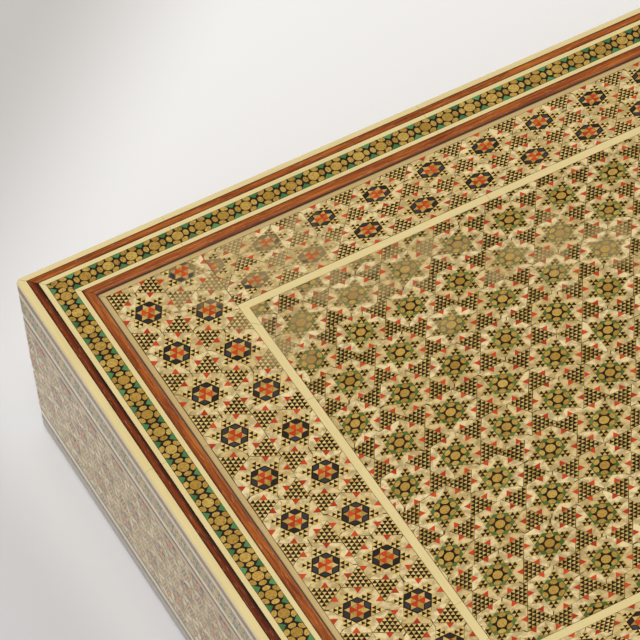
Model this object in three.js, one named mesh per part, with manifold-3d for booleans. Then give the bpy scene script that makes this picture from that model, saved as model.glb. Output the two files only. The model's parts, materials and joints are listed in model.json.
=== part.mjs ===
// Jewelry box in khatam marquetry with a hinged lid. Millimetres, +Z up.
// The origin is the middle of the underside, +X runs along the width and -Y is the front.
import * as THREE from 'three';
import { mergeVertices } from 'three/addons/utils/BufferGeometryUtils.js';
import Module from 'manifold-3d';

const wasm = await Module();
wasm.setup();

// Outline of the closed box, seen from above
const boxWidth = 250;
const boxDepth = 190;
const cornerRadius = 1.2;
const cornerSteps = 4;

// Wooden carcass
const wallThickness = 6;
const floorThickness = 4;
const floorRebate = 3;
const boardThickness = 5;
const rimArris = 0.5;

// Glued surfaces
const glueLine = 0.05;
const mitreGap = 0.05;
const skinThickness = 1.2;
const veneerThickness = 1.2;

// Bands on the sides of the base, from the table upwards
const plinthLift = 0.3;
const plinthHeight = 3.7;
const plinthRounding = 0.6;
const lowerDarkHeight = 1.35;
const baseBoneHeight = 1.5;
const upperDarkHeight = 1;
const sideMosaicHeight = 28.85;
const rimPadoukHeight = 2.75;

// Bands on the sides of the lid, from the seam upwards
const seamGap = 0.3;
const lidLowerBoneHeight = 1.7;
const lidFlowerHeight = 5.3;
const lidUpperBoneHeight = 1.6;
const lidPadoukHeight = 2;
const edgeBandHeight = 1.2;
const edgeBandRounding = 0.9;

// Bands on the top of the lid, from the outer edge inwards
const edgeBandWidth = 2;
const outerPadoukWidth = 2.1;
const outerBoneWidth = 1.25;
const flowerStripWidth = 4.9;
const innerBoneWidth = 1.15;
const innerPadoukWidth = 2.6;
const innerPadoukRounding = 0.8;
const fieldDrop = 0.6;
const fieldEdgeWidth = 1.45;
const sideBorderWidth = 24.7;
const endBorderWidth = 18.35;
const fieldLineSideWidth = 2;
const fieldLineEndWidth = 2.1;

// Velvet linings
const liningGap = 0.1;
const wallLiningThickness = 0.9;
const floorLiningThickness = 1.5;
const lidLiningThickness = 1;
const liningDrop = 1;

// Two butt hinges let in between the rims, whose axis lies just inside the back face
const hingeFromSide = 50;
const hingeLength = 30;
const hingeInset = 1.2;
const knuckleCount = 5;
const knuckleGap = 0.3;
const barrelRadius = 1.1;
const barrelSides = 24;
const boreRadius = 0.6;
const pinRadius = 0.5;
const pinHeadRadius = 0.85;
const pinHeadThickness = 0.4;
const leafWidth = 5.2;
const leafThickness = 0.8;
const mortiseClearance = 0.3;
const openAngle = 100;
const stopClearance = 1.5;

// Countersunk hinge screws
const screwSpacing = 18;
const screwHeadRadius = 1.3;
const screwHeadHeight = 0.55;
const shankRadius = 0.65;
const screwLength = 4.8;
const screwTipLength = 1.2;
const screwSides = 16;
const screwClearance = 0.1;
const slotWidth = 0.35;
const slotDepth = 0.25;

const overcut = 5;

// Heights that follow from the bands
const lowerDarkBottom = plinthLift + plinthHeight + glueLine;
const baseBoneBottom = lowerDarkBottom + lowerDarkHeight + glueLine;
const upperDarkBottom = baseBoneBottom + baseBoneHeight + glueLine;
const sideMosaicBottom = upperDarkBottom + upperDarkHeight + glueLine;
const rimPadoukBottom = sideMosaicBottom + sideMosaicHeight + glueLine;
const baseHeight = rimPadoukBottom + rimPadoukHeight;

const lidFlowerBottom = lidLowerBoneHeight + glueLine;
const lidUpperBoneBottom = lidFlowerBottom + lidFlowerHeight + glueLine;
const lidPadoukBottom = lidUpperBoneBottom + lidUpperBoneHeight + glueLine;
const edgeBandBottom = lidPadoukBottom + lidPadoukHeight + glueLine;
const lidHeight = edgeBandBottom + edgeBandHeight;
const veneerBottom = lidHeight - veneerThickness;
const boardTop = Math.min(veneerBottom, edgeBandBottom) - glueLine;
const boardBottom = boardTop - boardThickness;
const fieldTop = lidHeight - fieldDrop;
const fieldBottom = fieldTop - veneerThickness;

// Insets from the outer faces
const wallOuter = skinThickness + glueLine;
const wallInner = wallOuter + wallThickness;
const outerPadoukInset = edgeBandWidth + glueLine;
const outerBoneInset = outerPadoukInset + outerPadoukWidth + glueLine;
const flowerStripInset = outerBoneInset + outerBoneWidth + glueLine;
const innerBoneInset = flowerStripInset + flowerStripWidth + glueLine;
const innerPadoukInset = innerBoneInset + innerBoneWidth + glueLine;
const fieldInset = innerPadoukInset + innerPadoukWidth;
const fieldEdgeInset = fieldInset + glueLine;
const borderInset = fieldEdgeInset + fieldEdgeWidth + glueLine;
const sideLineInset = borderInset + sideBorderWidth + glueLine;
const endLineInset = borderInset + endBorderWidth + glueLine;
const fieldSideInset = sideLineInset + fieldLineSideWidth;
const fieldEndInset = endLineInset + fieldLineEndWidth;

// The hinge axis, the hinges along it and the knuckles of each
const hingeOffset = boxWidth / 2 - hingeFromSide;
const hingeY = boxDepth / 2 - hingeInset;
const hingeZ = baseHeight + seamGap / 2;
const chamferAngle = THREE.MathUtils.degToRad((openAngle + stopClearance) / 2);
const knucklePitch = (hingeLength + knuckleGap) / knuckleCount;
const knuckleLength = knucklePitch - knuckleGap;
const coveRadius = barrelRadius + mortiseClearance;
const screwInset = (coveRadius + leafWidth) / 2;

const padouk = { color: 0x8a3a20, roughness: 0.35, metalness: 0 };
const darkPadouk = { color: 0x4a261a, roughness: 0.35, metalness: 0 };
const bone = { color: 0xe6d9a4, roughness: 0.3, metalness: 0 };
const flowerMosaic = { color: 0x8a7a3c, roughness: 0.3, metalness: 0.1 };
const redStarMosaic = { color: 0xa8906a, roughness: 0.3, metalness: 0.1 };
const greenStarMosaic = { color: 0x9a9058, roughness: 0.3, metalness: 0.1 };
const plinthWood = { color: 0x8c8478, roughness: 0.5, metalness: 0 };
const poplar = { color: 0xc9a878, roughness: 0.6, metalness: 0 };
const velvet = { color: 0x6e1420, roughness: 0.95, metalness: 0 };
const brass = { color: 0xc9a14a, roughness: 0.35, metalness: 1 };

// The corners in walking order, each with the angle at which its rounding starts
const corners = [
  { signX: -1, signY: -1, start: Math.PI },
  { signX: 1, signY: -1, start: 1.5 * Math.PI },
  { signX: 1, signY: 1, start: 0 },
  { signX: -1, signY: 1, start: 0.5 * Math.PI },
];

// Each side starts at the corner of its own number and runs along its direction
const sides = [
  { name: 'front', along: [1, 0] },
  { name: 'right', along: [0, 1] },
  { name: 'back', along: [-1, 0] },
  { name: 'left', along: [0, -1] },
];

function cornerPoint(corner, step, inset, height) {
  const radius = Math.max(cornerRadius - inset, 0);
  const reach = Math.max(cornerRadius, inset);
  const angle = corner.start + (step / cornerSteps) * (Math.PI / 2);
  const x = corner.signX * (boxWidth / 2 - reach) + radius * Math.cos(angle);
  const y = corner.signY * (boxDepth / 2 - reach) + radius * Math.sin(angle);
  return new THREE.Vector3(x, y, height);
}

// Joins rows of section points into a closed surface, and caps its two ends where it has any
function loft(rows, section, isRing) {
  const triangles = [];
  const add = (a, b, c) => {
    if (!a.equals(b) && !b.equals(c) && !c.equals(a)) {
      triangles.push(a, b, c);
    }
  };
  const spans = isRing ? rows.length : rows.length - 1;
  for (let span = 0; span < spans; span += 1) {
    const near = rows[span];
    const far = rows[(span + 1) % rows.length];
    near.forEach((point, index) => {
      const next = (index + 1) % near.length;
      add(point, near[next], far[next]);
      add(point, far[next], far[index]);
    });
  }
  if (!isRing) {
    const outline = section.map(([inset, height]) => new THREE.Vector2(inset, height));
    const last = rows[rows.length - 1];
    THREE.ShapeUtils.triangulateShape(outline, []).forEach(([a, b, c]) => {
      add(rows[0][c], rows[0][b], rows[0][a]);
      add(last[a], last[b], last[c]);
    });
  }
  return mergeVertices(new THREE.BufferGeometry().setFromPoints(triangles));
}

// A frame of one section, given as [inset, height] points, that goes right round the box
function frame(section) {
  const rows = [];
  corners.forEach((corner) => {
    for (let step = 0; step <= cornerSteps; step += 1) {
      rows.push(section.map(([inset, height]) => cornerPoint(corner, step, inset, height)));
    }
  });
  return loft(rows, section, true);
}

// A bar of one section along one side, mitred at both ends
function mitredBar(sideIndex, section) {
  const slide = new THREE.Vector3(...sides[sideIndex].along, 0).multiplyScalar(mitreGap);
  const first = corners[sideIndex];
  const second = corners[(sideIndex + 1) % corners.length];
  const rows = [];
  for (let step = cornerSteps / 2; step <= cornerSteps; step += 1) {
    rows.push(section.map(([inset, height]) => cornerPoint(first, step, inset, height).add(slide)));
  }
  for (let step = 0; step <= cornerSteps / 2; step += 1) {
    rows.push(section.map(([inset, height]) => cornerPoint(second, step, inset, height).sub(slide)));
  }
  return loft(rows, section, false);
}

function band(outer, inner, bottom, top) {
  return [[outer, bottom], [inner, bottom], [inner, top], [outer, top]];
}

// A quarter round of section points about a centre, from one angle to another
function quarterRound(centre, radius, startDegrees, endDegrees) {
  const points = [];
  for (let step = 0; step <= cornerSteps; step += 1) {
    const angle = THREE.MathUtils.degToRad(
      startDegrees + ((endDegrees - startDegrees) * step) / cornerSteps,
    );
    points.push([centre[0] + radius * Math.cos(angle), centre[1] + radius * Math.sin(angle)]);
  }
  return points;
}

function block(low, high) {
  const size = high.map((value, axis) => value - low[axis]);
  const middle = high.map((value, axis) => (value + low[axis]) / 2);
  return new THREE.BoxGeometry(...size).translate(...middle);
}

// A flat rectangular plate at an inset from the outline of the box
function plate(insetX, insetY, bottom, top) {
  const halfX = boxWidth / 2 - insetX;
  const halfY = boxDepth / 2 - insetY;
  return block([-halfX, -halfY, bottom], [halfX, halfY, top]);
}

function toSolid(geometry) {
  const bare = geometry.clone();
  bare.deleteAttribute('normal');
  bare.deleteAttribute('uv');
  const merged = mergeVertices(bare);
  return new wasm.Manifold(new wasm.Mesh({
    numProp: 3,
    vertProperties: Float32Array.from(merged.attributes.position.array),
    triVerts: Uint32Array.from(merged.index.array),
  }));
}

function toGeometry(solid) {
  const mesh = solid.getMesh();
  const geometry = new THREE.BufferGeometry();
  geometry.setAttribute('position', new THREE.BufferAttribute(mesh.vertProperties, 3));
  geometry.setIndex(new THREE.BufferAttribute(mesh.triVerts, 1));
  return geometry;
}

function cut(geometry, cutters) {
  const whole = toSolid(geometry);
  return toGeometry(cutters.reduce((rest, cutter) => rest.subtract(toSolid(cutter)), whole));
}

function join(geometry, additions) {
  const whole = toSolid(geometry);
  return toGeometry(additions.reduce((sum, addition) => sum.add(toSolid(addition)), whole));
}

// A round bar along X, centred on the hinge axis
function axleBar(radius, length, x) {
  const geometry = new THREE.CylinderGeometry(radius, radius, length, barrelSides);
  return geometry.rotateZ(Math.PI / 2).translate(x, 0, 0);
}

// What a hinge needs removed from the rims, about its axis: the cove for the barrel, the
// mortise for one leaf, and the pilot holes for that leaf's screws. Facing is -1 below and 1 above.
function hingeRoom(facing) {
  const coveLength = hingeLength + 2 * (pinHeadThickness + mortiseClearance);
  const halfLength = hingeLength / 2 + mortiseClearance;
  const depth = facing * (seamGap / 2 + leafThickness + glueLine);
  const mortise = block(
    [-halfLength, -leafWidth - mortiseClearance, Math.min(depth, 0)],
    [halfLength, 0, Math.max(depth, 0)],
  );
  const pilots = [-1, 1].map((end) => {
    const length = screwLength + mortiseClearance;
    const hole = new THREE.CylinderGeometry(
      shankRadius + screwClearance,
      shankRadius + screwClearance,
      length,
      screwSides,
    );
    hole.rotateX(Math.PI / 2);
    return hole.translate((end * screwSpacing) / 2, -screwInset, facing * (seamGap + length) / 2);
  });
  return [axleBar(coveRadius, coveLength, 0), mortise, ...pilots];
}

// The cutters of both hinges, in the height of the piece that they cut
function bothHingeRooms(facing, axisHeight) {
  return [-1, 1].flatMap((end) => hingeRoom(facing).map(
    (cutter) => cutter.translate(end * hingeOffset, hingeY, axisHeight),
  ));
}

// The notch between the chamfers of lid and base, which lets the lid lean back and then stops it
function backNotch(axisHeight) {
  const reach = hingeInset + overcut;
  const rise = reach * Math.tan(chamferAngle);
  const outline = new THREE.Shape([
    new THREE.Vector2(0, 0),
    new THREE.Vector2(reach, -rise),
    new THREE.Vector2(reach, rise),
  ]);
  const length = boxWidth + 2 * overcut;
  const notch = new THREE.ExtrudeGeometry(outline, { depth: length, bevelEnabled: false });
  notch.translate(0, 0, -length / 2);
  notch.rotateZ(Math.PI / 2).rotateY(Math.PI / 2);
  return notch.translate(0, hingeY, axisHeight);
}

// One hinge leaf about the axis, with every second knuckle. Facing is -1 for the base and 1 for the lid.
function hingeLeaf(facing, firstKnuckle) {
  const near = (facing * seamGap) / 2;
  const far = near + facing * leafThickness;
  const leaf = block(
    [-hingeLength / 2, -leafWidth, Math.min(near, far)],
    [hingeLength / 2, 0, Math.max(near, far)],
  );
  const knuckles = [];
  const gaps = [];
  for (let index = 0; index < knuckleCount; index += 1) {
    const x = -hingeLength / 2 + knuckleLength / 2 + index * knucklePitch;
    if (index % 2 === firstKnuckle) {
      knuckles.push(axleBar(barrelRadius, knuckleLength, x));
    } else {
      const half = knuckleLength / 2 + knuckleGap;
      gaps.push(block([x - half, -coveRadius, -overcut], [x + half, overcut, overcut]));
    }
  }
  const holes = [-1, 1].map((end) => {
    const hole = screwHole();
    if (facing > 0) {
      hole.rotateX(Math.PI);
    }
    return hole.translate((end * screwSpacing) / 2, -screwInset, near);
  });
  const bore = axleBar(boreRadius, hingeLength + overcut, 0);
  return cut(join(cut(leaf, gaps), knuckles), [bore, ...holes]);
}

// The outline of a countersunk screw from its tip to its head, which is let in flush at height 0
function screwOutline(growth) {
  return [
    [0, -screwLength - growth],
    [shankRadius + growth, screwTipLength - screwLength],
    [shankRadius + growth, -screwHeadHeight],
    [screwHeadRadius + growth, 0],
  ].map(([radius, height]) => new THREE.Vector2(radius, height));
}

function lathe(outline, segments) {
  return new THREE.LatheGeometry(outline, segments).rotateX(Math.PI / 2);
}

function screw() {
  const head = new THREE.Vector2(0, 0);
  const slot = block(
    [-screwHeadRadius - overcut, -slotWidth / 2, -slotDepth],
    [screwHeadRadius + overcut, slotWidth / 2, overcut],
  );
  return cut(lathe([...screwOutline(0), head], screwSides), [slot]);
}

function screwHole() {
  const rim = new THREE.Vector2(screwHeadRadius + screwClearance, overcut);
  const top = new THREE.Vector2(0, overcut);
  return lathe([...screwOutline(screwClearance), rim, top], screwSides);
}

// The hinge pin, with a riveted head beyond each end knuckle
function hingePin() {
  const half = hingeLength / 2 + glueLine;
  const end = half + pinHeadThickness;
  const outline = [
    [0, -end],
    [pinHeadRadius, -end + pinHeadThickness / 2],
    [pinHeadRadius, -half],
    [pinRadius, -half],
    [pinRadius, half],
    [pinHeadRadius, half],
    [pinHeadRadius, end - pinHeadThickness / 2],
    [0, end],
  ].map(([radius, height]) => new THREE.Vector2(radius, height));
  return new THREE.LatheGeometry(outline, barrelSides).rotateZ(Math.PI / 2);
}

function named(name, geometry, finish) {
  const material = new THREE.MeshStandardMaterial({ ...finish, flatShading: true });
  const mesh = new THREE.Mesh(geometry, material);
  mesh.name = name;
  return mesh;
}

// Carcass of the base: four mitred walls, rebated for a floor that is flush with their undersides
function baseCarcass() {
  const ledge = wallInner - floorRebate;
  const shoulder = floorThickness + glueLine;
  const section = [
    [wallOuter, 0],
    [ledge, 0],
    [ledge, shoulder],
    [wallInner, shoulder],
    [wallInner, baseHeight - rimArris],
    [wallInner - rimArris, baseHeight],
    [wallOuter, baseHeight],
  ];
  const walls = sides.map(({ name }, index) => {
    const wall = mitredBar(index, section);
    const geometry = name === 'back' ? cut(wall, bothHingeRooms(-1, hingeZ)) : wall;
    return named(`base_wall_${name}`, geometry, poplar);
  });
  const floorInset = ledge + glueLine;
  return [...walls, named('base_floor', plate(floorInset, floorInset, 0, floorThickness), poplar)];
}

// Bands glued round the base, and the four sheets of star mosaic between them
function baseSkins() {
  const ring = (name, bottom, height, finish) => (
    named(name, frame(band(0, skinThickness, bottom, bottom + height)), finish)
  );
  const plinthSection = [
    [plinthRounding, plinthLift],
    [skinThickness, plinthLift],
    [skinThickness, plinthLift + plinthHeight],
    [0, plinthLift + plinthHeight],
    ...quarterRound([plinthRounding, plinthLift + plinthRounding], plinthRounding, 180, 270).slice(0, -1),
  ];
  const rimSection = band(0, skinThickness, rimPadoukBottom, baseHeight);
  const rim = cut(frame(rimSection), [backNotch(hingeZ), ...bothHingeRooms(-1, hingeZ)]);
  const sheets = sides.map(({ name }, index) => {
    const section = band(0, skinThickness, sideMosaicBottom, sideMosaicBottom + sideMosaicHeight);
    return named(`base_mosaic_${name}`, mitredBar(index, section), redStarMosaic);
  });
  return [
    named('base_plinth', frame(plinthSection), plinthWood),
    ring('base_dark_line_lower', lowerDarkBottom, lowerDarkHeight, darkPadouk),
    ring('base_bone_line', baseBoneBottom, baseBoneHeight, bone),
    ring('base_dark_line_upper', upperDarkBottom, upperDarkHeight, darkPadouk),
    ...sheets,
    named('base_rim_padouk', rim, padouk),
  ];
}

function baseLinings() {
  const wallFace = wallInner + liningGap;
  const lowest = floorThickness + liningGap;
  const wallSection = band(wallFace, wallFace + wallLiningThickness, lowest, baseHeight - liningDrop);
  const floorInset = wallFace + wallLiningThickness + liningGap;
  const pad = plate(floorInset, floorInset, lowest, lowest + floorLiningThickness);
  return [named('lining_walls', frame(wallSection), velvet), named('lining_floor', pad, velvet)];
}

// Carcass of the lid, in heights above the seam: four mitred rails under a board with a sunk field
function lidCarcass() {
  const top = boardBottom - glueLine;
  const section = [
    [wallOuter, 0],
    [wallInner - rimArris, 0],
    [wallInner, rimArris],
    [wallInner, top],
    [wallOuter, top],
  ];
  const rails = sides.map(({ name }, index) => {
    const rail = mitredBar(index, section);
    const geometry = name === 'back' ? cut(rail, bothHingeRooms(1, -seamGap / 2)) : rail;
    return named(`lid_rail_${name}`, geometry, poplar);
  });
  const fieldRoom = plate(fieldInset, fieldInset, fieldBottom - glueLine, boardTop + overcut);
  const board = cut(plate(wallOuter, wallOuter, boardBottom, boardTop), [fieldRoom]);
  return [...rails, named('lid_board', board, poplar)];
}

function lidSkins() {
  const lowSection = band(0, skinThickness, 0, lidLowerBoneHeight);
  const lowBone = cut(frame(lowSection), [backNotch(-seamGap / 2), ...bothHingeRooms(1, -seamGap / 2)]);
  const flowerSection = band(0, skinThickness, lidFlowerBottom, lidFlowerBottom + lidFlowerHeight);
  const flowers = sides.map(({ name }, index) => (
    named(`lid_side_flowers_${name}`, mitredBar(index, flowerSection), flowerMosaic)
  ));
  const highBone = band(0, skinThickness, lidUpperBoneBottom, lidUpperBoneBottom + lidUpperBoneHeight);
  const highPadouk = band(0, skinThickness, lidPadoukBottom, lidPadoukBottom + lidPadoukHeight);
  return [
    named('lid_side_bone_lower', lowBone, bone),
    ...flowers,
    named('lid_side_bone_upper', frame(highBone), bone),
    named('lid_side_padouk', frame(highPadouk), padouk),
  ];
}

// The raised frame on top of the lid: edge band, padouk, bone, flower strips, bone and padouk again
function lidTopFrame() {
  const edgeCentre = [edgeBandRounding, lidHeight - edgeBandRounding];
  const edgeSection = [
    [0, edgeBandBottom],
    [edgeBandWidth, edgeBandBottom],
    [edgeBandWidth, lidHeight],
    ...quarterRound(edgeCentre, edgeBandRounding, 90, 180),
  ];
  const innerEdge = innerPadoukInset + innerPadoukWidth;
  const innerCentre = [innerEdge - innerPadoukRounding, lidHeight - innerPadoukRounding];
  const innerSection = [
    [innerPadoukInset, veneerBottom],
    [innerEdge, veneerBottom],
    ...quarterRound(innerCentre, innerPadoukRounding, 0, 90),
    [innerPadoukInset, lidHeight],
  ];
  const ring = (name, inset, width, finish) => (
    named(name, frame(band(inset, inset + width, veneerBottom, lidHeight)), finish)
  );
  const flowerSection = band(flowerStripInset, flowerStripInset + flowerStripWidth, veneerBottom, lidHeight);
  const flowers = sides.map(({ name }, index) => (
    named(`lid_top_flowers_${name}`, mitredBar(index, flowerSection), flowerMosaic)
  ));
  return [
    named('lid_edge_band', frame(edgeSection), bone),
    ring('lid_outer_padouk', outerPadoukInset, outerPadoukWidth, padouk),
    ring('lid_outer_bone', outerBoneInset, outerBoneWidth, bone),
    ...flowers,
    ring('lid_inner_bone', innerBoneInset, innerBoneWidth, bone),
    named('lid_inner_padouk', frame(innerSection), padouk),
  ];
}

// The sunk field: an edge line, four star borders, a bone line and the main sheet of stars
function lidField() {
  const halfX = (inset) => boxWidth / 2 - inset;
  const halfY = (inset) => boxDepth / 2 - inset;
  const edge = frame(band(fieldEdgeInset, fieldEdgeInset + fieldEdgeWidth, fieldBottom, fieldTop));
  const sideBorder = (sign) => {
    const outer = sign * halfX(borderInset);
    const inner = sign * halfX(borderInset + sideBorderWidth);
    return block(
      [Math.min(outer, inner), -halfY(borderInset), fieldBottom],
      [Math.max(outer, inner), halfY(borderInset), fieldTop],
    );
  };
  const endBorder = (sign) => {
    const outer = sign * halfY(borderInset);
    const inner = sign * halfY(borderInset + endBorderWidth);
    return block(
      [-halfX(sideLineInset), Math.min(outer, inner), fieldBottom],
      [halfX(sideLineInset), Math.max(outer, inner), fieldTop],
    );
  };
  const lineOutside = plate(sideLineInset, endLineInset, fieldBottom, fieldTop);
  const lineInside = plate(fieldSideInset, fieldEndInset, fieldBottom - overcut, fieldTop + overcut);
  const field = plate(fieldSideInset + glueLine, fieldEndInset + glueLine, fieldBottom, fieldTop);
  return [
    named('lid_field_edge', edge, bone),
    named('lid_border_left', sideBorder(-1), redStarMosaic),
    named('lid_border_right', sideBorder(1), redStarMosaic),
    named('lid_border_front', endBorder(-1), redStarMosaic),
    named('lid_border_back', endBorder(1), redStarMosaic),
    named('lid_field_line', cut(lineOutside, [lineInside]), bone),
    named('lid_field', field, greenStarMosaic),
  ];
}

function lidLining() {
  const inset = wallInner + liningGap;
  const top = boardBottom - liningGap;
  return named('lining_lid', plate(inset, inset, top - lidLiningThickness, top), velvet);
}

// One hinge about its own axis: the leaf on the base, the pin, and the screws of both leaves
function hinge(name) {
  const group = new THREE.Group();
  group.add(named(`${name}_base_leaf`, hingeLeaf(-1, 0), brass));
  group.add(named(`${name}_lid_leaf`, hingeLeaf(1, 1), brass));
  group.add(named(`${name}_pin`, hingePin(), brass));
  [-1, 1].forEach((facing) => {
    const place = facing < 0 ? 'base' : 'lid';
    [-1, 1].forEach((end) => {
      const label = end < 0 ? 'a' : 'b';
      const fastener = named(`${name}_${place}_screw_${label}`, screw(), brass);
      fastener.rotation.x = facing > 0 ? Math.PI : 0;
      fastener.position.set((end * screwSpacing) / 2, -screwInset, facing * (seamGap / 2 + glueLine));
      group.add(fastener);
    });
  });
  return group;
}

const base = new THREE.Group();
base.add(...baseCarcass(), ...baseSkins(), ...baseLinings());

const lid = new THREE.Group();
lid.add(...lidCarcass(), ...lidSkins(), ...lidTopFrame(), ...lidField(), lidLining());
lid.position.z = baseHeight + seamGap;

const hinges = ['left', 'right'].map((name, index) => {
  const group = hinge(`hinge_${name}`);
  group.position.set((index === 0 ? -1 : 1) * hingeOffset, hingeY, hingeZ);
  return group;
});

const box = new THREE.Group();
box.add(base, lid, ...hinges);

export default box;
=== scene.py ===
"""Khatam jewelry box: rods of bone, brass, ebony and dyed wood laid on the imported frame.

Lengths in this file are millimetres, and metres(...) turns them into the frame's metres.
"""
import contextlib
import json
import math
import random
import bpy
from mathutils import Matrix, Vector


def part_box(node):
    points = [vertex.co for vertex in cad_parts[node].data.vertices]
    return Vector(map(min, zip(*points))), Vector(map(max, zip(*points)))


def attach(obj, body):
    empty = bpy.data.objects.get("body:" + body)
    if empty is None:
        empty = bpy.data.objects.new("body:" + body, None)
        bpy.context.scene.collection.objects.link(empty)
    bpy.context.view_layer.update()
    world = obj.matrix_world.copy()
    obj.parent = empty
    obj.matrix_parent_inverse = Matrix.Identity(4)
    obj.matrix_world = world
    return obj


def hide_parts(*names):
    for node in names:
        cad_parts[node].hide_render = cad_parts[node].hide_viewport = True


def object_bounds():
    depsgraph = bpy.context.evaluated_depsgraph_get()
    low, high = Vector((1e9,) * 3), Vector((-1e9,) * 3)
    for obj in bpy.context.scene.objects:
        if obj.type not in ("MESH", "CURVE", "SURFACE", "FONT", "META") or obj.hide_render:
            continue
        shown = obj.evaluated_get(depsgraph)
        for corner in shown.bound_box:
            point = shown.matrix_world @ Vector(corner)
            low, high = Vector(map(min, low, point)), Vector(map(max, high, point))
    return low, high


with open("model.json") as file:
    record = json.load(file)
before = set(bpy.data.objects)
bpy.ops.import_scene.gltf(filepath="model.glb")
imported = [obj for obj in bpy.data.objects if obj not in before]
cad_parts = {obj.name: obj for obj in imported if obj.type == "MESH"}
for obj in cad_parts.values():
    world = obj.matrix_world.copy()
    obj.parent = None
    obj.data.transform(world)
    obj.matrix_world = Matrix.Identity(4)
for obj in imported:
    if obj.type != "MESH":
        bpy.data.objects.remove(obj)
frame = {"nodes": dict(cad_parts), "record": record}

from types import SimpleNamespace

import bpy
from mathutils import Matrix, Vector

cad_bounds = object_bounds()
low, high = cad_bounds

# The box as the frame has it, in millimetres
WIDTH = (high[0] - low[0]) * 1000
DEPTH = (high[1] - low[1]) * 1000
HEIGHT = (high[2] - low[2]) * 1000


def metres(*lengths):
    return Vector([length / 1000 for length in lengths])


def extent(name):
    """Lowest and highest corner of a frame node, in millimetres."""
    first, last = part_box(name)
    return Vector(first) * 1000, Vector(last) * 1000


def deselect_all():
    if bpy.context.object and bpy.context.object.mode != "OBJECT":
        bpy.ops.object.mode_set(mode="OBJECT")
    bpy.ops.object.select_all(action="DESELECT")


def make_active(piece):
    deselect_all()
    piece.select_set(True)
    bpy.context.view_layer.objects.active = piece


@contextlib.contextmanager
def editing(piece):
    """Opens a piece in edit mode with all of it selected, and closes it afterwards."""
    make_active(piece)
    bpy.ops.object.mode_set(mode="EDIT")
    bpy.ops.mesh.select_all(action="SELECT")
    yield
    bpy.ops.object.mode_set(mode="OBJECT")


# Camera, solved from the bands of the lid in the photograph
IMAGE_SIZE = 640
SENSOR_WIDTH = 36
FOCAL_PIXELS = 4343
CAMERA_AZIMUTH = math.radians(-23.2)
CAMERA_ELEVATION = math.radians(48.04)
CAMERA_ROLL = math.radians(-6.49)
CORNER_DEPTH = 1004.7
CORNER_PIXEL = (14.5, 279.0)


def add_camera():
    """Places the camera so that the lid's back left corner falls on its pixel."""
    azimuth, elevation = CAMERA_AZIMUTH, CAMERA_ELEVATION
    forward = Vector((
        -math.sin(azimuth) * math.cos(elevation),
        math.cos(azimuth) * math.cos(elevation),
        -math.sin(elevation),
    ))
    level = forward.cross(Vector((0, 0, 1))).normalized()
    upright = level.cross(forward)
    right = math.cos(CAMERA_ROLL) * level + math.sin(CAMERA_ROLL) * upright
    up = math.cos(CAMERA_ROLL) * upright - math.sin(CAMERA_ROLL) * level
    offset_right = (CORNER_PIXEL[0] - IMAGE_SIZE / 2) / FOCAL_PIXELS * CORNER_DEPTH
    offset_down = (CORNER_PIXEL[1] - IMAGE_SIZE / 2) / FOCAL_PIXELS * CORNER_DEPTH
    corner = metres(-WIDTH / 2, DEPTH / 2, HEIGHT)
    place = corner - (right * offset_right - up * offset_down + forward * CORNER_DEPTH) / 1000
    lens = bpy.data.cameras.new("camera")
    lens.sensor_width = SENSOR_WIDTH
    lens.lens = SENSOR_WIDTH * FOCAL_PIXELS / IMAGE_SIZE
    lens.clip_start = 0.05
    lens.clip_end = 20
    camera = bpy.data.objects.new("camera", lens)
    camera.matrix_world = Matrix((
        (right.x, up.x, -forward.x, place.x),
        (right.y, up.y, -forward.y, place.y),
        (right.z, up.z, -forward.z, place.z),
        (0, 0, 0, 1),
    ))
    bpy.context.collection.objects.link(camera)
    bpy.context.scene.camera = camera


add_camera()


def linear(code):
    """Turns an sRGB hex value into linear red, green, blue and alpha."""
    parts = [int(code[start:start + 2], 16) / 255 for start in (1, 3, 5)]
    bent = [part / 12.92 if part <= 0.04045 else ((part + 0.055) / 1.055) ** 2.4 for part in parts]
    return (*bent, 1)


def add(tree, kind, inputs, **settings):
    """Adds a node with its settings, and fills its inputs: in their order, or by name from a dictionary.

    A value is a constant or another node's output. A node itself stands for the first of its outputs.
    """
    made = tree.nodes.new("ShaderNode" + kind)
    for name, setting in settings.items():
        setattr(made, name, setting)
    if isinstance(inputs, dict):
        filled = [(made.inputs[name], value) for name, value in inputs.items()]
    else:
        filled = zip([socket for socket in made.inputs if socket.enabled], inputs)
    for socket, value in filled:
        if isinstance(value, bpy.types.Node):
            value = next(output for output in value.outputs if output.enabled)
        if isinstance(value, bpy.types.NodeSocket):
            tree.links.new(value, socket)
        else:
            socket.default_value = value
    return made


def fineness(size):
    """The scale at which a noise texture has features about this many millimetres across."""
    return 1000 / size


def tinted(tree, colour, pattern, most, tint):
    """Tints a colour where a pattern is high, by this share at the most."""
    share = add(tree, "Math", (pattern, most), operation="MULTIPLY")
    return add(tree, "Mix", (share, colour, linear(tint)), data_type="RGBA")


def new_material(name):
    """An empty material, its node tree, and the point's object coordinates, which are the frame's metres."""
    material = bpy.data.materials.new(name)
    material.use_nodes = True
    tree = material.node_tree
    tree.nodes.clear()
    return material, tree, add(tree, "TexCoord", ()).outputs["Object"]


def finish_material(tree, surface):
    """Ends a material with its shader, whose inputs are given by name."""
    add(tree, "OutputMaterial", {"Surface": add(tree, "BsdfPrincipled", surface)})


# Lacquer, the same over the whole box: several rubbed coats, glossy but a little uneven.
# It wets what lies under it, which shines little by itself.
LACQUER = {
    "Coat Weight": 1.0,
    "Coat Roughness": 0.22,
    "Coat IOR": 1.5,
    "Specular IOR Level": 0.15,
}
LACQUER_WAVE = 9


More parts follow.
